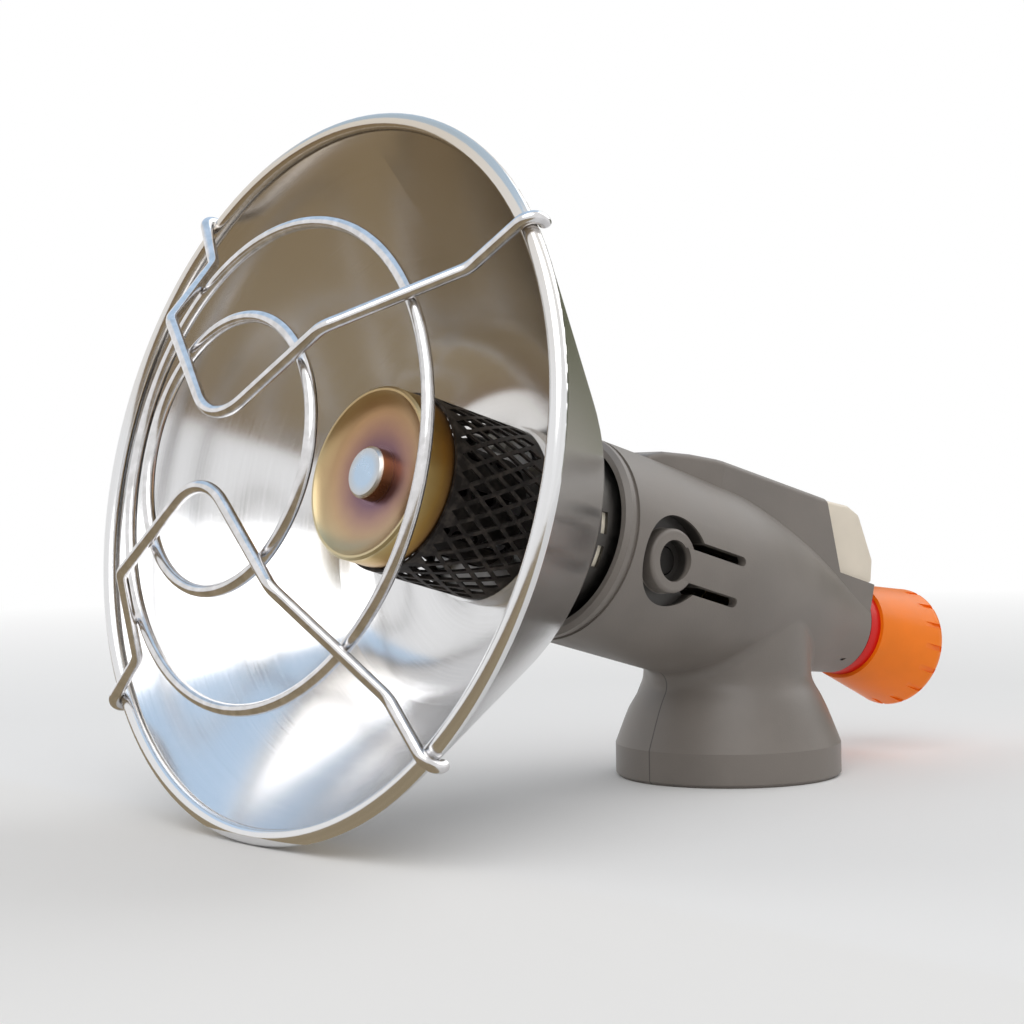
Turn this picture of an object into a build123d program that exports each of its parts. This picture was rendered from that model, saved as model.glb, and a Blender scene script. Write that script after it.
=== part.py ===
from build123d import *
from math import asin, atan2, cos, degrees, hypot, radians, sin, tan
import os

os.makedirs("parts", exist_ok=True)

# Portable gas heater: a torch body with a polished bowl, standing on its base ring and its bowl rim.
# The origin is the middle of the base's underside, +Z is up and the bowl faces -Y.
# All lengths are in millimetres and all angles in degrees.

# Angles of the torch barrel and of the bowl, which droops a little from the barrel
torch_tilt = 15.0
reflector_droop = 3.5
bowl_tilt = torch_tilt - reflector_droop

# Reflector bowl, measured from the neck pivot along the bowl's axis
neck_reach = 62.0
rim_r = 72.3
rim_reach = 64.3
bead_r = 1.75
bowl_sheet = 0.8
bowl_floor = 12.5
bowl_floor_r = 34.1
bowl_corner_r = 27.5
rim_tuck = 0.05
bowl_hole_r = 10.0

# The barrel's axis is as high as lets the rim and the base stand on one surface
axis_height = (rim_r + bead_r) * cos(radians(bowl_tilt)) - neck_reach * sin(radians(torch_tilt))
axis_height -= rim_reach * sin(radians(bowl_tilt))

# Torch barrel, measured from the canister's axis along the barrel
wall = 2.3
barrel_r = 23.25
barrel_front = 58.2
lip_chamfer = 1.0
lip_groove = 1.2
lip_groove_depth = 0.5
barrel_back = 17.0
waist_r = 21.4
tail_upper_r = 16.7
tail_upper_back = 20.7
tail_lower_r = 12.6
tail_lower_back = 35.8
tail_end_r = 11.6
tail_end_back = 41.9
tail_wall = 2.5
tail_hole_r = 6.8

# Base collar, turned about Z
base_r = 26.9
base_edge = 0.8
base_skirt = 7.8
cone_low_r = 24.3
cone_low_z = 14.5
cone_mid_r = 21.8
cone_mid_z = 19.8
neck_r = 20.0
neck_z = 25.0
socket_r = 22.0
socket_depth = 9.5
lock_plate_r = 20.5
lock_plate = 1.5
web_bottom = socket_depth + lock_plate
web_thickness = 2.0
web_hole_r = 9.0
web_top = web_bottom + web_thickness
neck_blend = 3.5

# Trigger hood: side outline as distance along the barrel and height above its axis
hood_half = 11.0
hood_wall = 1.3
hood_nose = 39.2
hood_nose_top = 23.3
hood_brow = 35.4
hood_brow_top = 25.0
hood_bend = 27.9
hood_bend_top = 26.3
hood_mid = 20.7
hood_mid_top = 27.0
hood_back = 18.4
hood_back_top = 27.6
hood_slant_foot = 27.7
shelf_height = 11.2
shelf_back = 41.4
hood_taper_start = 19.0
hood_nose_half = 6.5
hood_edge = 1.4

# Side bosses with their pocket, screw hole and two slots
boss_at = 42.0
boss_drop = 2.0
boss_r = 7.1
boss_hole_r = 4.6
boss_step_r = 3.3
boss_step_at = 19.2
boss_seat_at = 17.6
pocket_r = 10.0
pocket_floor = 18.6
boss_pad_r = 11.5
boss_face = 22.6
boss_round = 0.9
slot_width = 2.2
slot_back = 19.8
slot_spread = 4.75
pad_inner = 16.2

# One overrun serves every cut, and one clearance each serves running and sliding pieces
over = 1.0
reach = 60.0
running_gap = 0.06
sliding_gap = 0.3

# Frames: the torch frame has X, height above the axis, and distance along the barrel
torch = Plane(
    origin=(0, 0, axis_height),
    x_dir=(1, 0, 0),
    z_dir=(0, -cos(radians(torch_tilt)), sin(radians(torch_tilt))),
)
torch_side = Plane(origin=torch.origin, x_dir=torch.y_dir, z_dir=(1, 0, 0))
torch_axis = Axis(torch.origin, torch.z_dir)
bowl = Plane(
    origin=torch.origin + torch.z_dir * neck_reach,
    x_dir=(1, 0, 0),
    z_dir=(0, -cos(radians(bowl_tilt)), sin(radians(bowl_tilt))),
)
bowl_side = Plane(origin=bowl.origin, x_dir=bowl.y_dir, z_dir=(1, 0, 0))
bowl_axis = Axis(bowl.origin, bowl.z_dir)
burner = Plane(origin=bowl.origin, x_dir=(1, 0, 0), z_dir=torch.z_dir)
burner_side = Plane(origin=bowl.origin, x_dir=torch.y_dir, z_dir=(1, 0, 0))
burner_axis = Axis(bowl.origin, torch.z_dir)


def turned(frame_side, axis, *points):
    """A solid of revolution from its half outline, given as radius and distance along the axis."""
    with BuildPart() as form:
        with BuildSketch(frame_side):
            with BuildLine():
                Polyline(*points, close=True)
            make_face()
        revolve(axis=axis)
    return form.part


def ring(frame_side, axis, inner_r, outer_r, start, end):
    """A plain ring or tube between two distances along the axis."""
    return turned(frame_side, axis, (inner_r, start), (outer_r, start), (outer_r, end), (inner_r, end))


def rod(frame_side, axis, radius, start, end):
    """A plain round bar between two distances along the axis."""
    return ring(frame_side, axis, 0, radius, start, end)


def spoke(frame, along, turn):
    """A plane through the axis that faces outwards at an angle from X, with its own X along the axis."""
    outward = frame.x_dir * cos(radians(turn)) + frame.y_dir * sin(radians(turn))
    return Plane(origin=frame.origin + frame.z_dir * along, x_dir=frame.z_dir, z_dir=outward)


def finish(piece, name):
    """Label a finished piece and write its file."""
    piece.part.label = name
    export_step(piece.part, f"parts/{name}.step")


# Torch body: the same barrel and cone, drawn with and without their wall, give the moulded shell
def barrel_form(inset, front):
    with BuildPart() as form:
        with BuildSketch(torch_side):
            with BuildLine():
                Polyline((0, -tail_end_back), (0, front), (barrel_r - inset, front))
                Line((barrel_r - inset, front), (barrel_r - inset, barrel_back))
                Spline(
                    (barrel_r - inset, barrel_back),
                    (waist_r - inset, 0),
                    (tail_upper_r - inset, -tail_upper_back),
                    (tail_lower_r - inset, -tail_lower_back),
                    (tail_end_r - inset, -tail_end_back),
                    tangents=[(0, -1), (tail_end_r - tail_lower_r, tail_lower_back - tail_end_back)],
                )
                Line((tail_end_r - inset, -tail_end_back), (0, -tail_end_back))
            make_face()
        revolve(axis=torch_axis)
    return form.part


def cone_form(inset, bottom_r, bottom_z):
    with BuildPart() as form:
        with BuildSketch(Plane.XZ):
            with BuildLine():
                Polyline((0, axis_height), (0, bottom_z), (bottom_r, bottom_z))
                Spline(
                    (bottom_r, bottom_z),
                    (cone_low_r - inset, cone_low_z),
                    (cone_mid_r - inset, cone_mid_z),
                    (neck_r - inset, neck_z),
                    tangents=[(cone_low_r - base_r, cone_low_z - base_skirt), (0, 1)],
                )
                Polyline((neck_r - inset, neck_z), (neck_r - inset, axis_height), (0, axis_height))
            make_face()
        revolve(axis=Axis.Z)
    return form.part


def hood_form(half, nose_half, nose_at, outline):
    """The hood: its side outline as a prism, narrowed in plan towards the nose."""
    with BuildPart() as form:
        with BuildSketch(torch_side):
            with BuildLine():
                Polyline(*outline, close=True)
            make_face()
        extrude(amount=half, both=True)
        with BuildSketch(Plane(origin=torch.origin, x_dir=(1, 0, 0), z_dir=torch.y_dir)):
            with BuildLine():
                Polyline(
                    (half, -hood_taper_start),
                    (nose_half, -nose_at),
                    (-nose_half, -nose_at),
                    (-half, -hood_taper_start),
                    (-half, shelf_back + over),
                    (half, shelf_back + over),
                    close=True,
                )
            make_face()
        extrude(amount=reach, mode=Mode.INTERSECT)
    return form.part


hood_outline = [
    (0, hood_nose),
    (hood_nose_top, hood_nose),
    (hood_brow_top, hood_brow),
    (hood_bend_top, hood_bend),
    (hood_mid_top, hood_mid),
    (hood_back_top, -hood_back),
    (shelf_height, -hood_slant_foot),
    (shelf_height, -shelf_back),
    (0, -shelf_back),
]
hood_room_outline = [
    (0, hood_nose - wall),
    (hood_nose_top - wall, hood_nose - wall),
    (hood_brow_top - wall, hood_brow - wall),
    (hood_bend_top - wall, hood_bend),
    (hood_mid_top - wall, hood_mid),
    (hood_back_top - wall, -hood_back - over),
    (shelf_height, -hood_slant_foot - over),
    (shelf_height, -hood_slant_foot),
    (shelf_height - wall, -hood_slant_foot),
    (shelf_height - wall, -shelf_back + wall),
    (0, -shelf_back + wall),
]

# The hood's long edges and nose are rounded; its slanted back stays sharp against the button
with BuildPart() as hood_outer:
    add(hood_form(hood_half, hood_nose_half, hood_nose, hood_outline))
    rounded = [
        edge
        for edge in hood_outer.edges()
        if torch.to_local_coords(edge.center()).Y > shelf_height
        and torch.to_local_coords(edge.center()).Z > -hood_back
    ]
    fillet(rounded, hood_edge)

with BuildPart() as body_outer:
    add(barrel_form(0, barrel_front))
    add(cone_form(0, base_r, base_skirt))
    fillet(body_outer.edges(Select.NEW), neck_blend)
    with BuildSketch(Plane.XY):
        Circle(base_r)
    extrude(amount=base_skirt)
    add(hood_outer.part)
    lip = body_outer.edges().filter_by(GeomType.CIRCLE).filter_by(
        lambda e: abs(torch.to_local_coords(e.center()).Z - barrel_front) < lip_chamfer
    )
    chamfer(lip, lip_chamfer)
    chamfer(body_outer.edges().filter_by(GeomType.CIRCLE).sort_by(Axis.Z)[0], base_edge)
    groove_front = barrel_front - lip_chamfer - lip_groove
    groove_in = barrel_r - lip_groove_depth
    add(
        ring(torch_side, torch_axis, groove_in, barrel_r + over, groove_front - lip_groove, groove_front),
        mode=Mode.SUBTRACT,
    )

with BuildPart() as body_cavity:
    add(barrel_form(wall, barrel_front + over))
    add(cone_form(wall, cone_low_r - wall, web_top))
    add(hood_form(hood_half - hood_wall, hood_nose_half - hood_wall, hood_nose - wall, hood_room_outline))
    split(bisect_by=torch.offset(tail_wall - tail_end_back), keep=Keep.TOP)
    with BuildSketch(torch_side):
        with BuildLine():
            Polyline(
                (shelf_height - wall, -hood_slant_foot),
                (shelf_height + hood_back_top, -hood_slant_foot),
                (shelf_height + hood_back_top, -tail_end_back),
                (shelf_height - wall, -tail_end_back),
                close=True,
            )
        make_face()
    extrude(amount=hood_half, both=True, mode=Mode.SUBTRACT)

# Posts for the four screws that join the halves
screw_r = 1.5
screw_head_r = 2.8
screw_head = 2.4
screw_reach = 8.0
post_r = 4.6
head_bore_r = 3.1
base_post_y = 14.5
base_post_z = 18.5
tail_post_up = -7.8
tail_post_back = 36.0
front_post_up = -16.0
front_post_at = 31.0


def torch_place(y, z):
    """Height above the barrel's axis and distance along it, of a point in the middle plane."""
    local = torch.to_local_coords(Vector(0, y, z))
    return (local.Y, local.Z)


post_places = [
    torch_place(-base_post_y, base_post_z),
    torch_place(base_post_y, base_post_z),
    (tail_post_up, -tail_post_back),
    (front_post_up, front_post_at),
]
boss_place = (-boss_drop, boss_at)

# Igniter unit, and the cradle ribs that hold it from both sides
igniter_half = 5.0
igniter_low = 12.6
igniter_high = 23.0
igniter_front = 20.0
igniter_back = 10.0
cradle_rib = 1.6
cradle_inset = 3.0
igniter_mid = (igniter_low + igniter_high) / 2
cradle_places = [(igniter_mid, igniter_front - cradle_inset), (igniter_mid, cradle_inset - igniter_back)]

# Button: side outline, travel and the notch that it slides in
button_half = hood_half - hood_wall - sliding_gap
button_travel = 5.0
button_top_front = 17.9
button_top_front_up = 27.4
button_crown = 28.8
button_crown_up = 28.4
button_brow = 33.5
button_brow_up = 27.2
button_heel = 41.4
button_heel_up = 17.5
button_toe = 42.2
button_toe_up = 12.6
button_foot = 40.9
button_front = 26.6
button_edge = 0.9
button_round = 2.0
plunger_r = 3.5
plunger_up = 17.6
plunger_back = 25.5
plunger_front = 7.0
notch_front = button_top_front - button_travel - sliding_gap - sliding_gap

with BuildPart() as body_shell:
    add(body_outer.part)
    add(body_cavity.part, mode=Mode.SUBTRACT)
    with BuildSketch(torch_side):
        with Locations(*post_places):
            Circle(post_r)
    extrude(amount=reach, both=True)
    with BuildSketch(torch_side.offset(pad_inner)):
        with Locations(boss_place):
            Circle(boss_pad_r)
    pads = extrude(amount=reach)
    mirror(pads, about=Plane.YZ)
    with BuildSketch(torch_side.offset(igniter_half)):
        with Locations(*cradle_places):
            Rectangle(igniter_high - igniter_low, cradle_rib)
    cradles = extrude(amount=hood_half)
    mirror(cradles, about=Plane.YZ)
    add(body_outer.part, mode=Mode.INTERSECT)
    with BuildSketch(torch_side.offset(pocket_floor)):
        with Locations(boss_place):
            Circle(pocket_r)
        with Locations((-boss_drop, boss_at - pocket_r / 2)):
            Rectangle(slot_spread + slot_spread - slot_width, pocket_r, mode=Mode.SUBTRACT)
    pockets = extrude(amount=reach, mode=Mode.PRIVATE)
    add([pockets, mirror(pockets, about=Plane.YZ, mode=Mode.PRIVATE)], mode=Mode.SUBTRACT)
    with BuildSketch(torch_side.offset(pocket_floor)):
        with Locations(boss_place):
            Circle(boss_r)
    bosses = extrude(amount=boss_face - pocket_floor)
    mirror(bosses, about=Plane.YZ)
    boss_rims = body_shell.edges().filter_by(GeomType.CIRCLE).filter_by(
        lambda e: abs(abs(e.center().X) - boss_face) < sliding_gap and e.radius > boss_hole_r
    )
    fillet(boss_rims, boss_round)
    for start, hole_r in ((boss_step_at, boss_hole_r), (boss_seat_at, boss_step_r), (pad_inner, screw_r)):
        with BuildSketch(torch_side.offset(start)):
            with Locations(boss_place):
                Circle(hole_r)
        bores = extrude(amount=reach, mode=Mode.PRIVATE)
        add([bores, mirror(bores, about=Plane.YZ, mode=Mode.PRIVATE)], mode=Mode.SUBTRACT)
    slot_front = boss_at - boss_r
    slot_long = slot_front - slot_back
    with BuildSketch(torch_side.offset(boss_seat_at - wall - over)):
        for side in (1, -1):
            with Locations((-boss_drop + side * slot_spread, (slot_front + slot_back) / 2)):
                SlotOverall(slot_long, slot_width, rotation=90)
    slots = extrude(amount=reach, mode=Mode.PRIVATE)
    add([slots, mirror(slots, about=Plane.YZ, mode=Mode.PRIVATE)], mode=Mode.SUBTRACT)
    with BuildSketch(Plane.XY):
        Circle(socket_r)
    extrude(amount=socket_depth, mode=Mode.SUBTRACT)
    with BuildSketch(Plane.XY):
        Circle(lock_plate_r)
    extrude(amount=web_bottom, mode=Mode.SUBTRACT)
    with BuildSketch(Plane.XY):
        Circle(web_hole_r)
    extrude(amount=web_top + over, mode=Mode.SUBTRACT)
    tail_floor = tail_wall - tail_end_back
    add(rod(torch_side, torch_axis, tail_hole_r, -reach, tail_floor + over), mode=Mode.SUBTRACT)
    with BuildSketch(torch_side):
        with BuildLine():
            Polyline(
                (shelf_height, -notch_front),
                (shelf_height, -button_toe - over),
                (button_crown_up + over, -button_toe - over),
                (button_crown_up + over, -notch_front),
                close=True,
            )
        make_face()
    extrude(amount=hood_half - hood_wall, both=True, mode=Mode.SUBTRACT)

with BuildPart() as housing_left:
    add(body_shell.part)
    split(bisect_by=Plane.YZ, keep=Keep.TOP)
    with BuildSketch(torch_side):
        with Locations(*post_places):
            Circle(screw_r)
    extrude(amount=screw_reach + over, mode=Mode.SUBTRACT)
finish(housing_left, "housing_left")

with BuildPart() as housing_right:
    add(body_shell.part)
    split(bisect_by=Plane.YZ, keep=Keep.BOTTOM)
    with BuildSketch(torch_side):
        with Locations(*post_places):
            Circle(screw_r)
    extrude(amount=-screw_reach, mode=Mode.SUBTRACT)
    with BuildSketch(torch_side.offset(-screw_reach)):
        with Locations(*post_places):
            Circle(head_bore_r)
    extrude(amount=-reach, mode=Mode.SUBTRACT)
finish(housing_right, "housing_right")

with BuildPart() as housing_screws:
    with BuildSketch(torch_side.offset(-screw_reach)):
        with Locations(*post_places):
            Circle(screw_r)
    extrude(amount=screw_reach + screw_reach)
    with BuildSketch(torch_side.offset(-screw_reach)):
        with Locations(*post_places):
            Circle(screw_head_r)
    extrude(amount=-screw_head)
finish(housing_screws, "housing_screws")

# Cartridge fitting in the base
lock_hole_r = 12.0
lock_lugs = 3
lock_lug_width = 7.0
lock_lug_reach = 9.6
valve_stem_r = 8.0
valve_stem_bottom = 12.5
valve_flange_r = 11.5
valve_flange = 2.0
inlet_r = 4.0
inlet_tip_r = 2.4
inlet_shoulder = 10.9
inlet_bottom = 9.8
gas_bore_r = 1.2
seal_r = 6.6
seal_height = 1.4

with BuildPart() as lock_ring:
    with BuildSketch(Plane.XY.offset(web_bottom)):
        Circle(lock_plate_r)
        Circle(lock_hole_r, mode=Mode.SUBTRACT)
        with PolarLocations((lock_hole_r + lock_lug_reach) / 2 + over, lock_lugs):
            Rectangle(lock_hole_r - lock_lug_reach + over + over, lock_lug_width)
    extrude(amount=-lock_plate)
finish(lock_ring, "lock_ring")

with BuildPart() as inlet_stem:
    with BuildSketch(Plane.XZ):
        with BuildLine():
            Polyline(
                (gas_bore_r, inlet_bottom),
                (inlet_tip_r, inlet_bottom),
                (inlet_tip_r, inlet_shoulder),
                (inlet_r, inlet_shoulder),
                (inlet_r, valve_stem_bottom),
                (gas_bore_r, valve_stem_bottom),
                close=True,
            )
        make_face()
    revolve(axis=Axis.Z)
finish(inlet_stem, "inlet_stem")

with BuildPart() as inlet_seal:
    with BuildSketch(Plane.XY.offset(valve_stem_bottom)):
        Circle(seal_r)
        Circle(inlet_r, mode=Mode.SUBTRACT)
    extrude(amount=-seal_height)
finish(inlet_seal, "inlet_seal")

# Gas valve on the barrel's axis, with its spindle and gland nut
valve_r = 7.5
valve_back = 19.0
valve_nose_at = 14.0
valve_front = 20.0
tube_bore_r = 6.5
spindle_r = 2.5
spindle_back = 60.0
spindle_tip = 3.0
spindle_tip_r = 0.8
gland_r = 6.0
gland_length = 5.0
spindle_bore_r = spindle_r + running_gap

with BuildPart() as valve_body:
    add(
        turned(
            torch_side,
            torch_axis,
            (0, -valve_back),
            (valve_r, -valve_back),
            (valve_r, valve_nose_at),
            (tube_bore_r, valve_nose_at),
            (tube_bore_r, valve_front),
            (0, valve_front),
        )
    )
    with BuildSketch(Plane.XY.offset(valve_stem_bottom)):
        Circle(valve_stem_r)
    extrude(amount=axis_height - valve_stem_bottom)
    with BuildSketch(Plane.XY.offset(web_top)):
        Circle(valve_flange_r)
    extrude(amount=valve_flange)
    add(rod(torch_side, torch_axis, spindle_bore_r, -valve_back - over, 0), mode=Mode.SUBTRACT)
    add(rod(torch_side, torch_axis, gas_bore_r, -over, valve_front + over), mode=Mode.SUBTRACT)
    with BuildSketch(Plane.XY.offset(valve_stem_bottom - over)):
        Circle(gas_bore_r)
    extrude(amount=axis_height - valve_stem_bottom, mode=Mode.SUBTRACT)
finish(valve_body, "valve_body")

with BuildPart() as gland_nut:
    with BuildSketch(torch.offset(-valve_back)):
        RegularPolygon(gland_r, 6)
        Circle(spindle_bore_r, mode=Mode.SUBTRACT)
    extrude(amount=-gland_length)
finish(gland_nut, "gland_nut")

with BuildPart() as spindle:
    add(
        turned(
            torch_side,
            torch_axis,
            (0, -spindle_back),
            (spindle_r, -spindle_back),
            (spindle_r, -spindle_tip),
            (spindle_tip_r, -sliding_gap),
            (0, -sliding_gap),
        )
    )
finish(spindle, "spindle")

# Gas knob: a flared grip with short grooves at its back edge, and a red ring set in its front
knob_front = 46.1
knob_front_r = 12.2
knob_flare = 64.3
knob_flare_r = 15.0
knob_edge = 65.3
knob_edge_r = 15.2
knob_back = 68.4
knob_back_r = 11.9
collar_r = 11.3
collar_hole_r = 4.0
collar_front = 42.5
collar_seat = 3.3
knob_grooves = 16
groove_width = 1.3
groove_length = 5.5
groove_depth = 0.7
collar_back = knob_front + collar_seat

with BuildPart() as knob:
    with BuildSketch(torch_side):
        with BuildLine():
            Polyline(
                (knob_back_r, -knob_back),
                (spindle_r, -knob_back),
                (spindle_r, -collar_back),
                (collar_r, -collar_back),
                (collar_r, -knob_front),
                (knob_front_r, -knob_front),
                (knob_flare_r, -knob_flare),
            )
            Spline(
                (knob_flare_r, -knob_flare),
                (knob_edge_r, -knob_edge),
                (knob_back_r, -knob_back),
                tangents=[(knob_flare_r - knob_front_r, knob_front - knob_flare), (-1, 0)],
            )
        make_face()
    revolve(axis=torch_axis)
    add(rod(torch_side, torch_axis, spindle_r + over, -knob_back, -spindle_back))
    with BuildSketch(torch.offset(-knob_edge - over - over)):
        with PolarLocations(knob_edge_r, knob_grooves):
            Rectangle(groove_depth + groove_depth, groove_width)
    extrude(amount=groove_length + over + over, mode=Mode.SUBTRACT)
finish(knob, "knob")

with BuildPart() as knob_collar:
    add(ring(torch_side, torch_axis, collar_hole_r, collar_r, -collar_back, -collar_front))
finish(knob_collar, "knob_collar")

# Jet and mixing tube between the valve and the burner
jet_r = 3.4
jet_length = 5.0
jet_nozzle_r = 1.8
jet_nozzle = 2.5
jet_bore_r = 0.5
tube_wall = 0.8
tube_front = 60.0
air_holes = 4
air_hole_r = 2.4
air_hole_at = 31.0

with BuildPart() as jet:
    with BuildSketch(torch.offset(valve_front)):
        RegularPolygon(jet_r, 6)
    extrude(amount=jet_length)
    add(rod(torch_side, torch_axis, jet_nozzle_r, valve_front, valve_front + jet_length + jet_nozzle))
    add(rod(torch_side, torch_axis, jet_bore_r, valve_front - over, barrel_front), mode=Mode.SUBTRACT)
finish(jet, "jet")

with BuildPart() as mixing_tube:
    add(ring(torch_side, torch_axis, tube_bore_r, tube_bore_r + tube_wall, valve_nose_at, tube_front))
    for turn in range(air_holes):
        with BuildSketch(spoke(torch, air_hole_at, turn * 360 / air_holes)):
            Circle(air_hole_r)
        extrude(amount=tube_bore_r + tube_wall + over, mode=Mode.SUBTRACT)
finish(mixing_tube, "mixing_tube")

# Igniter: button, plunger, unit, lead and electrode
with BuildPart() as trigger_button:
    with BuildSketch(torch_side):
        with BuildLine():
            FilletPolyline(
                (shelf_height + sliding_gap, -button_front),
                (button_top_front_up, -button_top_front),
                (button_crown_up, -button_crown),
                (button_brow_up, -button_brow),
                (button_heel_up, -button_heel),
                (button_toe_up, -button_toe),
                (shelf_height + sliding_gap, -button_foot),
                radius=[0, button_round, button_round, button_round, button_round, 0, 0],
                close=True,
            )
        make_face()
    extrude(amount=button_half, both=True)
    rounded = [
        edge
        for edge in trigger_button.edges()
        if torch.to_local_coords(edge.center()).Z < -button_top_front - button_travel
        and abs(edge.center().X) > button_half - over
        and torch.to_local_coords(edge.center()).Y > shelf_height + over
        and torch.to_local_coords(edge.center()).Z < -button_front
    ]
    fillet(rounded, button_edge)
    with BuildSketch(torch.offset(-plunger_back)):
        with Locations((0, plunger_up)):
            Circle(plunger_r)
    extrude(amount=plunger_back, mode=Mode.SUBTRACT)
finish(trigger_button, "trigger_button")

with BuildPart() as igniter_plunger:
    with BuildSketch(torch.offset(-plunger_back)):
        with Locations((0, plunger_up)):
            Circle(plunger_r)
    extrude(amount=plunger_back - plunger_front)
finish(igniter_plunger, "igniter_plunger")

with BuildPart() as igniter_body:
    with BuildSketch(torch_side):
        with Locations((igniter_mid, (igniter_front - igniter_back) / 2)):
            Rectangle(igniter_high - igniter_low, igniter_front + igniter_back)
    extrude(amount=igniter_half, both=True)
    with BuildSketch(torch.offset(-igniter_back - over)):
        with Locations((0, plunger_up)):
            Circle(plunger_r + running_gap)
    extrude(amount=igniter_back - plunger_front + button_travel + over + over, mode=Mode.SUBTRACT)
finish(igniter_body, "igniter_body")

# Burner, along the torch's axis from the neck pivot
base_plate = 2.6
hub_r = 9.0
hub_bore_r = 6.6
floor_top = bowl_floor + bowl_sheet
plate_top = floor_top + base_plate
mesh_r = 19.2
mesh_sheet = 0.6
mesh_front = 42.2
mesh_around = 30
mesh_rows = 6
mesh_bar = 0.9
mesh_border = 0.5
burner_collar_r = 19.85
burner_collar_height = 3.6
core_r = 12.0
core_sheet = 0.8
core_front = 40.0
core_slots = 8
core_slot_rows = 3
core_slot_width = 2.4
core_slot_long = 7.0
cap_r = 18.5
cap_front = 49.9
cap_sheet = 0.8
cap_lip = 1.0
cap_dish = 47.3
cap_dish_r = 7.0
cap_rise_r = 14.0
cap_rise = 47.9
rod_r = 2.2
rod_front = 49.0
nut_r = 5.56
nut_front = 50.5
nut_chamfer = 0.6
electrode_up = 15.0
insulator_r = 1.8
insulator_back = 9.0
insulator_front = 19.0
electrode_r = 0.6
electrode_back = 10.0
electrode_front = 29.0
base_screws_count = 4
base_screw_ring = 15.0
base_screw_turn = 45.0
base_screw_r = 1.25
base_screw_head_r = 2.3
base_screw_head = 1.6
base_screw_long = 5.6
lead_r = 1.0
lead_run = 6.0
lead_up = 17.8
lead_straight = 10.0
lead_bend = 9.0

with BuildPart() as burner_base:
    add(ring(burner_side, burner_axis, hub_bore_r, mesh_r, floor_top - over - over, plate_top))
    split(bisect_by=bowl.offset(floor_top), keep=Keep.TOP)
    add(ring(burner_side, burner_axis, hub_bore_r, hub_r, tube_front - neck_reach, plate_top))
    with BuildSketch(burner.offset(plate_top + over)):
        with PolarLocations(base_screw_ring, base_screws_count, start_angle=base_screw_turn):
            Circle(base_screw_r)
        with Locations((0, electrode_up)):
            Circle(insulator_r)
    extrude(amount=-reach, mode=Mode.SUBTRACT)
finish(burner_base, "burner_base")

with BuildPart() as base_screws:
    with BuildSketch(burner.offset(plate_top)):
        with PolarLocations(base_screw_ring, base_screws_count, start_angle=base_screw_turn):
            Circle(base_screw_head_r)
    extrude(amount=base_screw_head)
    with BuildSketch(burner.offset(plate_top)):
        with PolarLocations(base_screw_ring, base_screws_count, start_angle=base_screw_turn):
            Circle(base_screw_r)
    extrude(amount=-base_screw_long)
finish(base_screws, "base_screws")

with BuildPart() as burner_collar:
    collar_top = floor_top + burner_collar_height
    add(ring(burner_side, burner_axis, mesh_r, burner_collar_r, floor_top - over - over, collar_top))
    split(bisect_by=bowl.offset(floor_top), keep=Keep.TOP)
finish(burner_collar, "burner_collar")

with BuildPart() as burner_core:
    add(
        turned(
            burner_side,
            burner_axis,
            (core_r - core_sheet, plate_top),
            (core_r, plate_top),
            (core_r, core_front),
            (0, core_front),
            (0, core_front - core_sheet),
            (core_r - core_sheet, core_front - core_sheet),
        )
    )
    core_pitch = (core_front - plate_top) / core_slot_rows
    for row in range(core_slot_rows):
        for turn in range(core_slots):
            slot_at = plate_top + core_pitch * (row + 1 / 2)
            with BuildSketch(spoke(burner, slot_at, turn * 360 / core_slots)):
                SlotOverall(core_slot_long, core_slot_width)
            extrude(amount=core_r + over, mode=Mode.SUBTRACT)
finish(burner_core, "burner_core")

# The mesh is a thin tube pierced by staggered diamonds, with bars of even width between them
mesh_length = mesh_front - plate_top
row_pitch = (mesh_length - mesh_border - mesh_border) / (mesh_rows + 1)
cell_half_long = row_pitch
cell_half_round = mesh_r * radians(180 / mesh_around)
bar_share = 1 - mesh_bar / 2 * hypot(cell_half_long, cell_half_round) / (cell_half_long * cell_half_round)

diamond = extrude(
    Polygon(
        (cell_half_long * bar_share, 0),
        (0, cell_half_round * bar_share),
        (-cell_half_long * bar_share, 0),
        (0, -cell_half_round * bar_share),
    ),
    amount=mesh_sheet + over + over,
)
diamonds = []
for row in range(mesh_rows):
    for column in range(mesh_around):
        turn = (column + (row % 2) / 2) * 360 / mesh_around
        cell = spoke(burner, plate_top + mesh_border + row_pitch * (row + 1), turn)
        diamonds.append(cell.offset(mesh_r - mesh_sheet - over) * diamond)

with BuildPart() as burner_mesh:
    add(ring(burner_side, burner_axis, mesh_r - mesh_sheet, mesh_r, plate_top, mesh_front))
    add(diamonds, mode=Mode.SUBTRACT)
finish(burner_mesh, "burner_mesh")

with BuildPart() as burner_cap:
    with BuildSketch(burner_side):
        with BuildLine():
            Polyline(
                (cap_r - cap_sheet, mesh_front),
                (cap_r, mesh_front),
                (cap_r, cap_front - cap_lip / 2),
                (cap_r - cap_lip / 2, cap_front),
                (cap_r - cap_lip, cap_front),
            )
            Spline(
                (cap_r - cap_lip, cap_front),
                (cap_rise_r, cap_rise),
                (cap_dish_r, cap_dish),
                tangents=[(-1, -1), (-1, 0)],
            )
            Polyline(
                (cap_dish_r, cap_dish),
                (rod_r, cap_dish),
                (rod_r, cap_dish - cap_sheet),
                (cap_dish_r, cap_dish - cap_sheet),
                (cap_rise_r, cap_rise - cap_sheet),
                (cap_r - cap_sheet, cap_rise - cap_sheet),
                (cap_r - cap_sheet, mesh_front),
            )
        make_face()
    revolve(axis=burner_axis)
finish(burner_cap, "burner_cap")

with BuildPart() as centre_rod:
    add(rod(burner_side, burner_axis, rod_r, core_front, rod_front))
finish(centre_rod, "centre_rod")

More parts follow.
